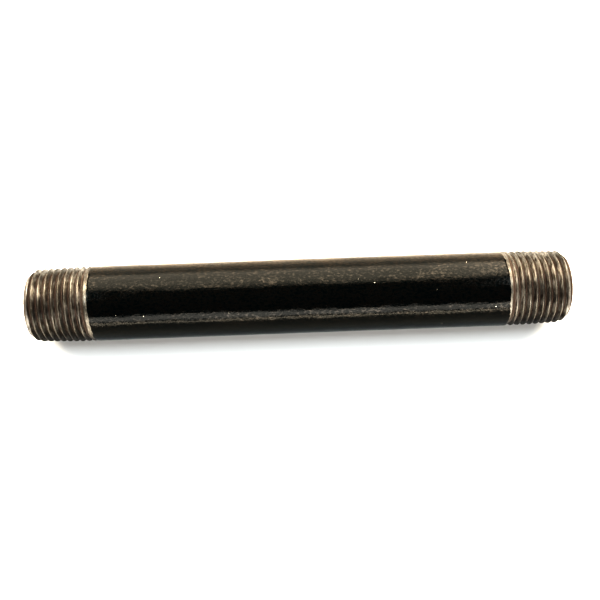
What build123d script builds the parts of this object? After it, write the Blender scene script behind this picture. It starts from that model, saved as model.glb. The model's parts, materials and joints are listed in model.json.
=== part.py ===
from build123d import *

import os
from math import atan, atan2, ceil, cos, degrees, radians, sin, sqrt, tan

# A black steel pipe nipple: a piece of schedule 40 pipe, 1/2 inch by 6 inches, with a tapered
# pipe thread (1/2-14 NPT) on each end and black lacquer on the barrel between the threads.
# It lies along X, with the middle of its axis at the origin and +Z up. Millimetres throughout.

# Pipe
inch = 25.4
length = 6 * inch
outer_radius = 0.840 / 2 * inch
wall_thickness = 0.109 * inch
bore_radius = outer_radius - wall_thickness
half = length / 2

# Tapered thread. Distances along it are counted from the end of the pipe. The start angles say
# where the crest leaves each end face, and all angles are counted about +X, from +Y.
pitch = inch / 14
taper = 1 / 32
flank_slope = tan(radians(30))
pitch_radius_at_end = 0.75843 / 2 * inch
full_thread_length = 0.5337 * inch
whole_thread_length = 17.3
crest_truncation = 0.0055 * inch
root_truncation = 0.0030 * inch
sharp_height = pitch * sqrt(3) / 2
crest_radius_at_end = pitch_radius_at_end + sharp_height / 2 - crest_truncation
root_radius_at_end = pitch_radius_at_end - sharp_height / 2 + root_truncation
left_start_angle = -37
right_start_angle = 34

# Ends
end_face_radius = 8.90
end_chamfer_angle = 40
bore_chamfer = 0.30

# Lacquer on the barrel, and mill scale as the innermost part of the wall
lacquer_thickness = 0.06
bare_land = 0.55
scale_thickness = 0.05
steel_bore_radius = bore_radius + scale_thickness

# Weld bead along the seam in the bore
seam_angle = 147
bead_width = 2.0
bead_height = 0.22
bead_facets = 6

# How far a shape runs on past the steel, so that no two of its faces lie on each other
overrun = 1.25 * pitch
overlap = 0.15


def root_radius(distance):
    return root_radius_at_end + taper * distance


def crest_radius(distance):
    return crest_radius_at_end + taper * distance


def revolved_about_axis(outline, mode):
    """Revolves the right half of an outline, and its mirror image, about the pipe's axis."""
    other_half = [(-x, radius) for x, radius in reversed(outline)]
    with BuildSketch(Plane.XZ) as profile:
        with BuildLine():
            Polyline((outline[0][0], 0), *outline, *other_half, (other_half[-1][0], 0), close=True)
        make_face()
    revolve(profile.sketch, axis=Axis.X, mode=mode)


# The thread ridge: a V with a flat crest, wound on a cone that widens inward from the right end.
# Below its flanks it has a straight-sided foot, narrower than the pitch, that sinks into the
# core. Its path is one helix for each turn.
foot_top = -overlap / 5
ridge_half_width = pitch / 2 - (root_truncation + foot_top) * flank_slope
crest_half_width = crest_truncation * flank_slope
ridge_outline = [
    (-ridge_half_width, -overlap),
    (ridge_half_width, -overlap),
    (ridge_half_width, foot_top),
    (crest_half_width, crest_radius_at_end - root_radius_at_end),
    (-crest_half_width, crest_radius_at_end - root_radius_at_end),
    (-ridge_half_width, foot_top),
]

turn_advance = pitch * cos(atan(taper))
turns = ceil((whole_thread_length + 2 * overrun) / turn_advance)

with BuildPart() as thread_ridge:
    with BuildLine() as ridge_path:
        for turn in range(turns):
            distance = turn * turn_advance - overrun
            Helix(
                pitch,
                turn_advance,
                root_radius(distance),
                center=(half - distance, 0, 0),
                direction=(-1, 0, 0),
                cone_angle=degrees(atan(taper)),
            )
    start = ridge_path.line @ 0
    start_angle = degrees(atan2(start.Z, start.Y))
    outward = Vector(0, start.Y, start.Z).normalized()
    with BuildSketch(Plane(origin=start, x_dir=(1, 0, 0), z_dir=Vector(1, 0, 0).cross(outward))):
        with BuildLine():
            Polyline(*ridge_outline, close=True)
        make_face()
    sweep(path=ridge_path.line, is_frenet=True)
crest_leaves_at = start_angle - 360 * overrun / pitch

# The pipe wall starts as a core cut down to the thread roots. Past the full thread the roots
# rise on a steeper cone, so the core grows there until it is thicker than the ridge.
root_rise = outer_radius - root_radius(full_thread_length)
vanish_slope = root_rise / (whole_thread_length - full_thread_length)
core_radius = crest_radius(whole_thread_length + overrun) + overlap
core_reaches = full_thread_length + (core_radius - root_radius(full_thread_length)) / vanish_slope
core_outline = [
    (half + 2 * overrun, root_radius(-2 * overrun)),
    (half - full_thread_length, root_radius(full_thread_length)),
    (half - core_reaches, core_radius),
]

# It is then trimmed to the outside of the pipe, and to the end chamfers and end faces.
outside_outline = [(half + 2 * overrun, outer_radius)]
chamfer_slope = tan(radians(end_chamfer_angle))
chamfer_reaches = (core_radius - end_face_radius) / chamfer_slope
chamfer_outline = [(half, end_face_radius), (half - chamfer_reaches, core_radius)]

# The bore, with its edges broken at 45 degrees.
bore_outline = [
    (half + overlap, steel_bore_radius + bore_chamfer + overlap),
    (half - bore_chamfer, steel_bore_radius),
]

with BuildPart() as pipe_wall:
    revolved_about_axis(core_outline, Mode.ADD)
    add(thread_ridge.part, rotation=(right_start_angle - crest_leaves_at, 0, 0))
    turned_round = thread_ridge.part.rotate(Axis.Z, 180)
    add(turned_round, rotation=(left_start_angle + crest_leaves_at - 180, 0, 0))
    for outline in (outside_outline, chamfer_outline):
        revolved_about_axis(outline, Mode.INTERSECT)
    revolved_about_axis(bore_outline, Mode.SUBTRACT)
pipe_wall.part.label = "pipe_wall"

# Black lacquer over the barrel, from where one thread has run out to where the other has.
lacquer_length = length - 2 * (whole_thread_length + bare_land)

with BuildPart() as lacquer_coat:
    with BuildSketch(Plane.YZ.offset(-lacquer_length / 2)):
        Circle(outer_radius + lacquer_thickness)
        Circle(outer_radius, mode=Mode.SUBTRACT)
    extrude(amount=lacquer_length)
lacquer_coat.part.label = "lacquer_coat"

# A low weld bead along the bore, and the scale that lines the rest of the bore. Both stop at
# the bore's chamfers. The bead's section is faceted: its foot lies along the wall and its crown
# rises as a parabola.
lining_length = length - 2 * bore_chamfer
bead_half_angle = bead_width / 2 / steel_bore_radius


def bead_point(share, height):
    """A point of the bead's section, at a share of its half width from its middle line."""
    angle = radians(seam_angle) + share * bead_half_angle
    radius = steel_bore_radius - height
    return (radius * cos(angle), radius * sin(angle))


bead_corners = [(-1, -bead_height), (1, -bead_height), (1, bead_height), (-1, bead_height)]
bead_shares = [2 * step / bead_facets - 1 for step in range(bead_facets + 1)]
bead_foot = [bead_point(share, 0) for share in bead_shares]
bead_crown = [bead_point(share, bead_height * (1 - share**2)) for share in bead_shares[-2:0:-1]]

with BuildPart() as seam_bead:
    with BuildSketch(Plane.YZ.offset(-lining_length / 2)):
        with BuildLine():
            Polyline(*bead_foot, *bead_crown, close=True)
        make_face()
    extrude(amount=lining_length)
seam_bead.part.label = "seam_bead"

with BuildPart() as mill_scale:
    with BuildSketch(Plane.YZ.offset(-lining_length / 2)):
        Circle(steel_bore_radius)
        Circle(bore_radius, mode=Mode.SUBTRACT)
        with BuildLine():
            Polyline(*[bead_point(share, height) for share, height in bead_corners], close=True)
        make_face(mode=Mode.SUBTRACT)
    extrude(amount=lining_length)
mill_scale.part.label = "mill_scale"

os.makedirs("parts", exist_ok=True)
for piece in (pipe_wall, lacquer_coat, mill_scale, seam_bead):
    export_step(piece.part, f"parts/{piece.part.label}.step")
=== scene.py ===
import json
import math

import bmesh
import bpy
import numpy as np
from mathutils import Matrix, Vector, noise


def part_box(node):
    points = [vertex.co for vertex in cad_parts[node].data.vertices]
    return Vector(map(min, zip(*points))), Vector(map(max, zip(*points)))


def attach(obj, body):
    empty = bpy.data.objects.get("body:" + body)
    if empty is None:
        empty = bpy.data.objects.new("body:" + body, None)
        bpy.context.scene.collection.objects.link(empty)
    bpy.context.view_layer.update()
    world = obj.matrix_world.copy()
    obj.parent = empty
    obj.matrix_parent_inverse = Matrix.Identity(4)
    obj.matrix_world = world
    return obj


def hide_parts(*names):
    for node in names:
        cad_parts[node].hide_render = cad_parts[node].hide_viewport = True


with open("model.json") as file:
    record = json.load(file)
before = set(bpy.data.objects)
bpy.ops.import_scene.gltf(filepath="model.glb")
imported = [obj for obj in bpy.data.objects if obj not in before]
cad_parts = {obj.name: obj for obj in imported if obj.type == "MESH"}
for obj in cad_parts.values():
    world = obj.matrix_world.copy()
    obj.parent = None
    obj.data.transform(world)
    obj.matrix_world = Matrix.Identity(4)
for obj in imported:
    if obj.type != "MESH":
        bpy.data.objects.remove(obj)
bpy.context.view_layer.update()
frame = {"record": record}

# A black steel pipe nipple lying along X, its middle at the origin. Metres, in the CAD's frame.
mm = 0.001
inch = 25.4 * mm
mounts = {mount["name"]: mount for mount in frame["record"]["mounts"]}
wall_low, wall_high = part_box("pipe_wall")
scale_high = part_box("mill_scale")[1]
coat_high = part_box("lacquer_coat")[1]

length = wall_high.x - wall_low.x
half = length / 2
outer_radius = wall_high.z
lacquer_radius = coat_high.z
lacquer_half = coat_high.x
steel_bore_radius = scale_high.z
lining_half = scale_high.x
bore_radius = mounts["bore"]["dims"]["r_mm"] * mm
thread_length = mounts["thread_right"]["dims"]["length_mm"] * mm

# Thread, 1/2-14 NPT. Distances along it are counted from the end of the pipe, and angles about
# +X, from +Y. The crest leaves each end face at its start angle. The grooves run out at the
# barrel by a power of the distance: the larger the haste, the later and steeper they end.
pitch = inch / 14
taper = 1 / 32
sharp_height = pitch * math.sqrt(3) / 2
pitch_radius_at_end = 0.75843 / 2 * inch
full_thread_length = 0.5337 * inch
crest_truncation = 0.0055 * inch
root_truncation = 0.0030 * inch
start_angle = {"left": -37, "right": 34}
run_out_haste = {"left": 4.0, "right": 2.4}
end_face_radius = 8.90 * mm
end_chamfer_slope = math.tan(math.radians(40))
bore_edge_break = half - lining_half
seam_angle = math.radians(147)
bead_width = 2.0 * mm
bead_height = 0.22 * mm

# Small clearances: the plain strip that is wound on past each thread, and how far the film and
# the linings of the bore keep from the steel behind them.
land = 0.5 * mm
touch = 0.002 * mm

# How finely the surfaces are divided
columns = 360
points_per_pitch = 24
same_point = 1e-7
no_length = 1e-8
column_angles = 2 * math.pi * np.arange(columns) / columns


def crest_radius(distance):
    return pitch_radius_at_end + sharp_height / 2 - crest_truncation + taper * distance


def root_radius(distance, haste):
    """The thread's roots: the taper, then a rise that runs out at the outside of the pipe."""
    on_taper = pitch_radius_at_end - sharp_height / 2 + root_truncation + taper * distance
    past_full = (distance - full_thread_length) / (thread_length - full_thread_length)
    return on_taper + (outer_radius - on_taper) * np.clip(past_full, 0, 1) ** haste


def waves(points, scale, octaves=3):
    """Smooth noise between -1 and 1 at many points, with features of about the given size."""
    flat = points.reshape(-1, 3) / scale
    values = [noise.fractal(Vector(p), 1.0, 2.0, octaves) for p in flat]
    return np.array(values).reshape(points.shape[:-1])


def around(x, radius, angle):
    """Points at a place along the pipe, a radius and an angle about its axis."""
    x, radius, angle = np.broadcast_arrays(x, radius, angle)
    return np.stack([x, radius * np.cos(angle), radius * np.sin(angle)], axis=-1)


class Shell:
    """Gathers surfaces that share their edge points into one closed mesh."""

    def __init__(self):
        self.points, self.faces, self.heights = [], [], []
        self.count = 0

    def add(self, points, faces, heights):
        """Adds a surface. Its heights are how near each point is to a thread's crest, 0 to 1."""
        self.points.append(points.reshape(-1, 3))
        self.heights.append(np.broadcast_to(heights, points.shape[:-1]).reshape(-1))
        self.faces.append(faces.reshape(-1, 4) + self.count)
        self.count += self.points[-1].shape[0]

    def add_rings(self, points):
        """A skin over rings of points, each ring closed on itself."""
        index = np.arange(points[..., 0].size).reshape(points.shape[:-1])
        after = np.roll(index, -1, axis=1)
        faces = np.stack([index[:-1], after[:-1], after[1:], index[1:]], axis=-1)
        self.add(points, faces, 1.0)

    def add_rows(self, x, radius):
        """Rings about the pipe's axis, one for each row of x and radius."""
        x = np.broadcast_to(np.asarray(x, float).reshape(len(x), -1), (len(x), columns))
        radius = np.broadcast_to(np.asarray(radius, float).reshape(len(x), -1), x.shape)
        self.add_rings(around(x, radius, column_angles))

    def build(self, name):
        """The mesh, joined where its surfaces share points, as an object."""
        mesh = bpy.data.meshes.new(name)
        points = np.concatenate(self.points)
        mesh.from_pydata(points.tolist(), [], np.concatenate(self.faces).tolist())
        layer = mesh.attributes.new("height", "FLOAT", "POINT")
        layer.data.foreach_set("value", np.concatenate(self.heights).astype(np.float32))
        shape = bmesh.new()
        shape.from_mesh(mesh)
        bmesh.ops.remove_doubles(shape, verts=shape.verts, dist=same_point)
        bmesh.ops.dissolve_degenerate(shape, edges=shape.edges, dist=no_length)
        loose = [edge for edge in shape.edges if not edge.link_faces]
        bmesh.ops.delete(shape, geom=loose, context="EDGES")
        bmesh.ops.recalc_face_normals(shape, faces=shape.faces)
        shape.to_mesh(mesh)
        shape.free()
        mesh.shade_smooth()
        made = bpy.data.objects.new(name, mesh)
        bpy.context.scene.collection.objects.link(made)
        return made


def finish_piece(made, node, material):
    """Gives a piece its material and puts it in the place of a node."""
    made.data.materials.append(material)
    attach(made, "root")
    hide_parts(node)


# ---------------------------------------------------------------- finishes


class Signal:
    """A shader value that takes part in Python arithmetic."""

    def __init__(self, finish, socket):
        self.finish, self.socket = finish, socket

    def math(self, operation, first, second):
        return self.finish.node("ShaderNodeMath", {"operation": operation}, {0: first, 1: second})

    def __add__(self, other):
        return self.math("ADD", self, other)

    def __radd__(self, other):
        return self.math("ADD", other, self)

    def __sub__(self, other):
        return self.math("SUBTRACT", self, other)

    def __rsub__(self, other):
        return self.math("SUBTRACT", other, self)

    def __mul__(self, other):
        return self.math("MULTIPLY", self, other)

    def __rmul__(self, other):
        return self.math("MULTIPLY", other, self)


class Finish:
    """A material being made from nodes."""

    def __init__(self, name):
        self.material = bpy.data.materials.new(name)
        self.material.use_nodes = True
        self.tree = self.material.node_tree
        self.tree.nodes.clear()

    def node(self, kind, settings=None, sockets=None, output=0):
        """Adds a node, sets or links its sockets and gives one of its outputs."""
        made = self.tree.nodes.new(kind)
        for key, value in (settings or {}).items():
            setattr(made, key, value)
        for key, value in (sockets or {}).items():
            if isinstance(value, Signal):
                self.tree.links.new(value.socket, made.inputs[key])
            else:
                made.inputs[key].default_value = value
        return Signal(self, made.outputs[output]) if made.outputs else None

    def place(self, stretch):
        """The point on the object, with each axis stretched."""
        where = self.node("ShaderNodeTexCoord", output="Object")
        return self.node("ShaderNodeVectorMath", {"operation": "MULTIPLY"}, {0: where, 1: stretch})

    def up(self):
        """How far the surface faces up, from -1 to 1."""
        normal = self.node("ShaderNodeTexCoord", output="Normal")
        return self.node("ShaderNodeSeparateXYZ", sockets={0: normal}, output="Z")

    def grain(self, scale, detail, stretch=(1, 1, 1)):
        """Smooth noise between 0 and 1."""
        sockets = {"Vector": self.place(stretch), "Scale": scale, "Detail": detail, "Roughness": 0.55}
        return self.node("ShaderNodeTexNoise", sockets=sockets)

    def cells(self, scale, stretch=(1, 1, 1)):
        """How far a point is from the middle of its cell."""
        sockets = {"Vector": self.place(stretch), "Scale": scale}
        return self.node("ShaderNodeTexVoronoi", sockets=sockets, output="Distance")

    def cell_lot(self, scale, stretch=(1, 1, 1)):
        """A number between 0 and 1 that differs from cell to cell."""
        sockets = {"Vector": self.place(stretch), "Scale": scale}
        lot = self.node("ShaderNodeTexVoronoi", sockets=sockets, output="Color")
        return self.node("ShaderNodeSeparateXYZ", sockets={0: lot}, output="X")

    def height(self):
        """How near the surface is to a thread's crest, from 0 in the roots to 1."""
        return self.node("ShaderNodeAttribute", {"attribute_name": "height"}, output="Fac")

    def step(self, value, low, high):
        """Runs smoothly from 0 to 1 as the value goes from low to high."""
        sockets = {"Value": value, "From Min": low, "From Max": high}
        return self.node("ShaderNodeMapRange", {"interpolation_type": "SMOOTHSTEP"}, sockets)

    def blend(self, mask, first, second):
        """A colour that goes from the first to the second as the mask goes from 0 to 1."""
        first = first if isinstance(first, Signal) else (*first, 1)
        second = second if isinstance(second, Signal) else (*second, 1)
        return self.node("ShaderNodeMix", {"data_type": "RGBA"}, {0: mask, 6: first, 7: second}, output=2)

    def bump(self, height, distance):
        """A normal tilted by a height that is counted in the given distance."""
        return self.node("ShaderNodeBump", sockets={"Height": height, "Distance": distance})

    def surface(self, sockets):
        """Ends the material in one shader with these sockets."""
        shader = self.node("ShaderNodeBsdfPrincipled", sockets=sockets)
        self.node("ShaderNodeOutputMaterial", sockets={"Surface": shader})
        return self.material


def cut_steel():
    """Die-cut thread steel: dirty crests, bright cut flanks, rust brown in the roots, and painted shade on
    the faces that turn down.
    """
    pit_black = (0.006, 0.005, 0.004)
    # A near-black painted shade for the thread faces that turn down.
    painted_underside_shade = (0.024, 0.023, 0.021)
    root_rust = (0.050, 0.035, 0.026)
    crest_dark, crest_bright = (0.030, 0.028, 0.024), (0.122, 0.112, 0.096)
    flank_dark, flank_bright = (0.074, 0.073, 0.070), (0.33, 0.315, 0.289)
    tool_shadow = (0.060, 0.053, 0.046)

    steel = Finish("cut_steel")
    height = steel.height()
    tool_marks = steel.grain(2600, 3, (1, 0.15, 0.15))
    torn = steel.grain(2400, 4, (1, 0.5, 0.5))
    patches = steel.grain(170, 5)
    mottle = steel.step(0.5 * patches + 0.5 * torn, 0.40, 0.62)
    crest = steel.step(height + 0.35 * (torn - 0.5), 0.84, 1.02)
    root = steel.step(height + 0.5 * (patches - 0.5), 0.45, 0.05)
    pits = steel.step(steel.cells(330), 0.16, 0.09) * steel.step(steel.cell_lot(330), 0.82, 0.84)
    # Painted shade mask: 0 on faces that turn down, 1 on faces that turn up.
    clear_of_painted_shade = steel.step(steel.up(), -0.25, 0.45)

    oiled = steel.blend(steel.step(patches, 0.35, 0.65), flank_dark, flank_bright)
    flank = steel.blend(steel.step(tool_marks, 0.35, 0.65), oiled, tool_shadow)
    rusty = steel.blend(root, flank, root_rust)
    worn = steel.blend(crest, rusty, steel.blend(mottle, crest_dark, crest_bright))
    underside_shaded = steel.blend(clear_of_painted_shade, painted_underside_shade, worn)
    relief = 0.020 * tool_marks + 0.022 * torn - 0.06 * pits
    return steel.surface(
        {
            "Base Color": steel.blend(pits, underside_shaded, pit_black),
            "Roughness": 0.44 + 0.16 * root + 0.35 * (torn - 0.5) + 0.04 * crest + 0.2 * pits,
            "Metallic": 1.0 - 0.4 * root - 0.8 * pits,
            "Normal": steel.bump(relief, mm),
        }
    )


def black_lacquer():
    """Thin black lacquer over drawn pipe: soft waves, drawn streaks, orange peel and dust."""
    film_black, film_bloom = (0.0001, 0.0013, 0.0017), (0.0150, 0.0138, 0.0124)
    dust_tan = (0.34, 0.27, 0.20)
    speck_pale = (0.60, 0.55, 0.46)
    drawn_out = (0.3, 1, 1)

    lacquer = Finish("black_lacquer")
    swell = lacquer.grain(110, 2, (0.6, 1, 1))
    streaks = lacquer.grain(900, 3, (0.08, 1, 1))
    peel = lacquer.grain(1900, 4, (0.6, 1, 1))
    haze = lacquer.grain(170, 5, (0.5, 1, 1))
    facing_up = lacquer.step(lacquer.up(), -0.1, 0.9)

    dotted = lacquer.step(lacquer.cell_lot(420), 0.72, 0.74)
    dots = lacquer.step(lacquer.cells(420) + 0.22 * (peel - 0.5), 0.060, 0.030) * dotted
    nicked = lacquer.step(lacquer.cell_lot(230, drawn_out), 0.86, 0.88)
    nicks = lacquer.step(lacquer.cells(230, drawn_out) + 0.08 * (peel - 0.5), 0.045, 0.025) * nicked
    specks = lacquer.node("ShaderNodeMath", {"operation": "MAXIMUM"}, {0: dots, 1: nicks}) * facing_up

    # Mottled bloom, kept to the faces that turn up. The faces that turn down keep the bare black film, a
    # painted shade that keeps the underside dark.
    bloom_and_underside_shade = lacquer.step(0.75 * peel + 0.25 * haze, 0.28, 0.72) * lacquer.step(lacquer.up(), 0.1, 0.6)
    powder = lacquer.step(peel, 0.35, 0.75) * facing_up * lacquer.step(haze, 0.30, 0.75)
    film = lacquer.blend(bloom_and_underside_shade * bloom_and_underside_shade, film_black, film_bloom)
    dusty = lacquer.blend(0.010 * powder, film, dust_tan)
    relief = 0.26 * swell + 0.022 * streaks + 0.034 * peel + 0.06 * specks
    return lacquer.surface(
        {
            "Base Color": lacquer.blend(specks, dusty, speck_pale),
            "Roughness": 0.05 + 0.11 * haze + 0.14 * (peel - 0.5) + 0.4 * specks,
            "IOR": 1.45,
            "Metallic": bloom_and_underside_shade * (1.0 - specks),
            "Specular IOR Level": 0.085,
            "Specular Tint": (1.0, 0.90, 0.81, 1),
            "Normal": lacquer.bump(relief, mm),
        }
    )


def bore_oxide():
    """Grey-black rolling scale, blistered, with rust showing where it has flaked."""
    scale_grey, rust = (0.035, 0.034, 0.036), (0.082, 0.050, 0.033)
    oxide = Finish("bore_oxide")
    flakes = oxide.grain(300, 5)
    fine = oxide.grain(1500, 3)
    bare = oxide.step(flakes, 0.58, 0.66)
    return oxide.surface(
        {
            "Base Color": oxide.blend(bare, scale_grey, rust),
            "Roughness": 0.55 + 0.3 * bare + 0.2 * (fine - 0.5),
            "Metallic": 0.35,
            "Normal": oxide.bump(flakes + 0.4 * fine, 0.05 * mm),
        }
    )


def weld_metal():
    """The inner bead: blue-grey scale with rust freckles."""
    blue_grey, rust = (0.075, 0.078, 0.085), (0.090, 0.057, 0.038)
    weld = Finish("weld_metal")
    freckles = weld.step(weld.grain(700, 4), 0.55, 0.68)
    ripples = weld.grain(500, 2, (1, 0.3, 0.3))
    return weld.surface(
        {
            "Base Color": weld.blend(freckles, blue_grey, rust),
            "Roughness": 0.42 + 0.3 * freckles,
            "Metallic": 0.7,
            "Normal": weld.bump(ripples, 0.03 * mm),
        }
    )


def pale_paper():
    """The floor: matt pale paper with a faint tooth."""
    pale, paler = (0.46, 0.46, 0.455), (0.49, 0.49, 0.485)
    paper = Finish("pale_paper")
    tooth = paper.grain(2500, 3)
    cloud = paper.grain(12, 2)
    return paper.surface(
        {
            "Base Color": paper.blend(cloud, pale, paler),
            "Roughness": 0.9 + 0.1 * (tooth - 0.5),
            "Specular IOR Level": 0.1,
            "Normal": paper.bump(tooth, 0.02 * mm),
        }
    )


# ---------------------------------------------------------------- the pipe


def wind_thread(shell, end):
    """The threaded surface of one end, wound as a strip whose turns share their edges."""
    end_x = half if end == "right" else -half
    reach = thread_length + land
    turns = math.ceil(reach / pitch) + 3
    turns_before_end = turns - 2 if end == "right" else 2
    turn = np.arange(columns * turns).reshape(-1, 1) / columns
    share = np.arange(points_per_pitch).reshape(1, -1) / points_per_pitch
    x = end_x + pitch * (turn - start_angle[end] / 360 + share - turns_before_end)
    inner_x = end_x - math.copysign(reach, end_x)
    x = np.clip(x, min(inner_x, end_x), max(inner_x, end_x))
    distance = np.abs(end_x - x)
    angle = 2 * math.pi * turn

    # A V with a flat crest, which is worn by dents and burrs and ends at the outside of the pipe.
    from_crest = np.minimum(share, 1 - share) * pitch
    sharp = pitch_radius_at_end + taper * distance + sharp_height / 2 - from_crest * math.sqrt(3)
    places = around(x, outer_radius, angle)
    dents = 0.035 * mm * np.clip(waves(places, 2.2 * mm), 0, 1)
    burrs = 0.012 * mm * waves(places, 0.5 * mm, 2)
    crests = np.minimum(crest_radius(distance) - np.clip(dents + burrs, 0, None), outer_radius)
    roots = root_radius(distance, run_out_haste[end])
    radius = np.minimum(np.maximum(np.minimum(sharp, crests), roots), outer_radius)
    radius = np.minimum(radius, end_face_radius + end_chamfer_slope * distance)

    rim = np.minimum(crest_radius(distance), outer_radius)
    least_depth = 0.12 * mm
    height = np.clip(1 - (rim - radius) / np.maximum(rim - roots, least_depth), 0, 1)

    index = np.arange(x.size).reshape(x.shape)
    next_turn = np.roll(index[:, :1], -columns, axis=0)
    row = np.concatenate([index, next_turn], axis=1)
    corner, following = row[: -columns - 1], row[1:-columns]
    faces = np.stack([corner[:, :-1], following[:, :-1], following[:, 1:], corner[:, 1:]], axis=-1)
    shell.add(around(x, radius, angle), faces, height)


def make_pipe():
    """The steel wall: both threads, the barrel, the end faces and the bore."""
    shell = Shell()
    wind_thread(shell, "left")
    wind_thread(shell, "right")
    barrel_half = half - thread_length - land
    shell.add_rows([-barrel_half, barrel_half], [outer_radius, outer_radius])

    edge_radius = steel_bore_radius + bore_edge_break
    face_rim = end_face_radius - 0.08 * mm
    face_middle = (end_face_radius + edge_radius) / 2
    face_places = [half, half, half, half, lining_half]
    face_radii = [end_face_radius, face_rim, face_middle, edge_radius, steel_bore_radius]
    for side in (-1, 1):
        shell.add_rows([side * place for place in face_places], face_radii)
    shell.add_rows([-lining_half, lining_half], [steel_bore_radius, steel_bore_radius])
    return shell.build("threaded_pipe")


def make_lacquer():
    """The film over the barrel. Its edges are ragged and follow the turn of the last groove."""
    rows = 200
    groove_ends_at = math.radians(112)
    half_turn = math.pi
    from_groove_end = (column_angles - groove_ends_at + half_turn) % (2 * half_turn) - half_turn
    turned = from_groove_end / (2 * half_turn)
    step_back = np.clip((0.5 - np.abs(turned)) / 0.15, 0, 1)
    follow = pitch * turned * step_back
    edges = []
    for side in (-1, 1):
        places = around(side * lacquer_half, outer_radius, column_angles)
        drips = 0.28 * mm * waves(places, 3.5 * mm, 2)
        nibbles = 0.12 * mm * waves(places, 0.8 * mm, 3)
        edges.append(side * lacquer_half + follow + (drips + nibbles))

    # The rows lie closest together at the two edges, where the film thins out.
    share = (1 - np.cos(np.linspace(0, math.pi, rows).reshape(-1, 1))) / 2
    x = edges[0] * (1 - share) + edges[1] * share
    into_film = np.minimum(x - edges[0], edges[1] - x)
    places = around(x, outer_radius, column_angles)
    film = (lacquer_radius - outer_radius) * (0.85 + 0.12 * waves(places, 7 * mm, 2))
    feather = np.clip(into_film / (0.35 * mm), 0, 1) ** 0.5
    shell = Shell()
    shell.add_rows(x, outer_radius + touch + film * feather)
    shell.add_rows(x[[0, -1]], np.full((2, columns), outer_radius + touch))
    return shell.build("lacquer_film")


def make_bore_scale():
    """The scale in the bore: a blistered inner skin, closed behind against the steel."""
    rows = 160
    x = np.linspace(-lining_half, lining_half, rows).reshape(-1, 1) * np.ones((1, columns))
    blisters = 0.02 * mm * waves(around(x, bore_radius, column_angles), 2.5 * mm, 3)
    inside = bore_radius + blisters
    behind = np.full((2, columns), steel_bore_radius - touch)
    shell = Shell()
    shell.add_rows(np.concatenate([x, x[[-1, 0, 0]]]), np.concatenate([inside, behind, inside[:1]]))
    return shell.build("bore_scale")


def make_seam_bead():
    """The weld bead along the bore: a low crown with chevron ripples and a wandering edge."""
    rows, facets = 900, 12
    ripple_length = 0.9 * mm
    half_angle = bead_width / 2 / steel_bore_radius
    foot_radius = steel_bore_radius - touch
    x = np.linspace(-lining_half, lining_half, rows).reshape(-1, 1)
    share = np.linspace(-1, 1, facets + 1).reshape(1, -1)
    line = around(x, steel_bore_radius, seam_angle)
    wander = 0.08 * waves(line, 6 * mm, 2) + 0.05 * waves(line, 1.5 * mm, 2)
    angle = seam_angle + half_angle * (share * (0.92 + wander))
    ripple = np.sin(2 * math.pi * (x + 0.35 * mm * share**2) / ripple_length)
    crown = bead_height * (1 - share**2) * (0.88 + 0.09 * ripple + 0.6 * wander)
    foot = around(x, foot_radius, angle)
    top = around(x, foot_radius - crown, angle)
    section = np.concatenate([foot, top[:, -2:0:-1]], axis=1)
    closed = np.concatenate([foot, foot[:, -2:0:-1]], axis=1)
    shell = Shell()
    shell.add_rings(np.concatenate([closed[:1], section, closed[-1:]]))
    return shell.build("weld_bead")


finish_piece(make_pipe(), "pipe_wall", cut_steel())
finish_piece(make_lacquer(), "lacquer_coat", black_lacquer())
finish_piece(make_bore_scale(), "mill_scale", bore_oxide())
finish_piece(make_seam_bead(), "seam_bead", weld_metal())


# ---------------------------------------------------------------- floor, light and camera


def make_floor():
    """A wide sheet of paper that the pipe lies on."""
    reach = 40 * length
    steps = 24
    along = np.linspace(-reach, reach, steps + 1)
    x, y = np.meshgrid(along, along, indexing="ij")
    points = np.stack([x, y, np.full(x.shape, -lacquer_radius)], axis=-1)
    index = np.arange(x.size).reshape(x.shape)
    faces = np.stack([index[:-1, :-1], index[1:, :-1], index[1:, 1:], index[:-1, 1:]], axis=-1)
    mesh = bpy.data.meshes.new("paper_floor")
    mesh.from_pydata(points.reshape(-1, 3).tolist(), [], faces.reshape(-1, 4).tolist())
    made = bpy.data.objects.new("paper_floor", mesh)
    bpy.context.scene.collection.objects.link(made)
    made.data.materials.append(pale_paper())


def direction(elevation, azimuth=0.0):
    """Elevation 0 is the front horizon, 90 the zenith, 180 the back horizon, in degrees."""
    turn, rise = math.radians(azimuth), math.radians(elevation)
    return Vector((math.sin(turn) * math.cos(rise), -math.cos(turn) * math.cos(rise), math.sin(rise)))


def soft_light(name, colour, radiance, elevation, span, width, distance=0.9, azimuth=0.0):
    """A rectangular light that, seen from the pipe, spans some degrees of elevation."""
    depth = 2 * distance * math.tan(math.radians(span / 2))
    lamp = bpy.data.lights.new(name, "AREA")
    lamp.shape = "RECTANGLE"
    lamp.size, lamp.size_y = width, depth
    lamp.energy = radiance * math.pi * width * depth
    lamp.color = colour
    made = bpy.data.objects.new(name, lamp)
    bpy.context.scene.collection.objects.link(made)
    towards = direction(elevation, azimuth)
    across = Vector((1, 0, 0))
    up = towards.cross(across).normalized()
    across = up.cross(towards)
    turn = Matrix((across, up, towards)).transposed().to_4x4()
    made.matrix_world = Matrix.Translation(towards * distance) @ turn


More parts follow.
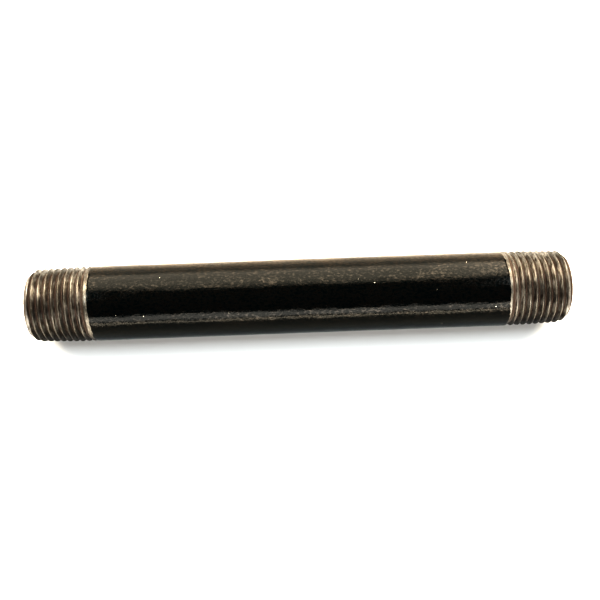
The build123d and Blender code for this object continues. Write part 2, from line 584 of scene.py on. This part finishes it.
def light_scene():
    """A big soft window behind, strips in front and low behind, and fill from both sides."""
    white, cool = (1.0, 0.98, 0.95), (0.90, 0.96, 1.0)
    warm, straw = (1.0, 0.91, 0.78), (1.0, 0.86, 0.66)
    # The window is brightest in its middle, so its panes lie on each other, each one wider.
    for low, high in ((115, 154), (110, 156), (105, 160), (100, 166)):
        middle, span = (low + high) / 2, high - low
        soft_light(f"window_{low}", warm, radiance=5.2, elevation=middle, span=span, width=0.75)
    soft_light("back_strip", warm, radiance=3.4, elevation=173, span=13, width=0.75)
    soft_light("front_strip", white, radiance=15.0, elevation=16.5, span=17, width=0.9, distance=0.6)
    soft_light("low_strip", warm, radiance=36.0, elevation=0.8, span=3.6, width=0.9, distance=0.42)
    for side in (-1, 1):
        beside, behind = 90 * side, 121 * side
        soft_light(f"side_{side}", cool, radiance=9.5, elevation=57, span=22, width=0.4, azimuth=beside)
        soft_light(f"behind_{side}", straw, radiance=33.0, elevation=33, span=20, width=0.35, azimuth=behind)
    soft_light("window_right", warm, radiance=4.0, elevation=138, span=44, width=0.22, azimuth=-30)
    world = bpy.data.worlds.new("room")
    world.use_nodes = True
    room = world.node_tree.nodes["Background"]
    room.inputs["Color"].default_value = (0.84, 0.90, 0.92, 1)
    room.inputs["Strength"].default_value = 0.12
    bpy.context.scene.world = world


def place_camera():
    """Looks down on the pipe from in front, turned a little so that it slopes in the frame."""
    azimuth, elevation = -2.27, 68
    distance = 225.4 * mm
    aside, below = 0.27 * mm, 1.18 * mm
    back = direction(elevation, azimuth)
    turn = math.radians(azimuth)
    right = Vector((math.cos(turn), math.sin(turn), 0))
    up = back.cross(right)
    camera = bpy.data.cameras.new("camera")
    camera.sensor_width = 36
    camera.lens = 46.9
    camera.clip_start = 1 * mm
    made = bpy.data.objects.new("camera", camera)
    bpy.context.scene.collection.objects.link(made)
    place = back * distance + right * aside - up * below
    made.matrix_world = Matrix.Translation(place) @ Matrix((right, up, back)).transposed().to_4x4()
    bpy.context.scene.camera = made


make_floor()
light_scene()
place_camera()
view = bpy.context.scene.view_settings
view.view_transform = "Standard"
view.look = "Very High Contrast"
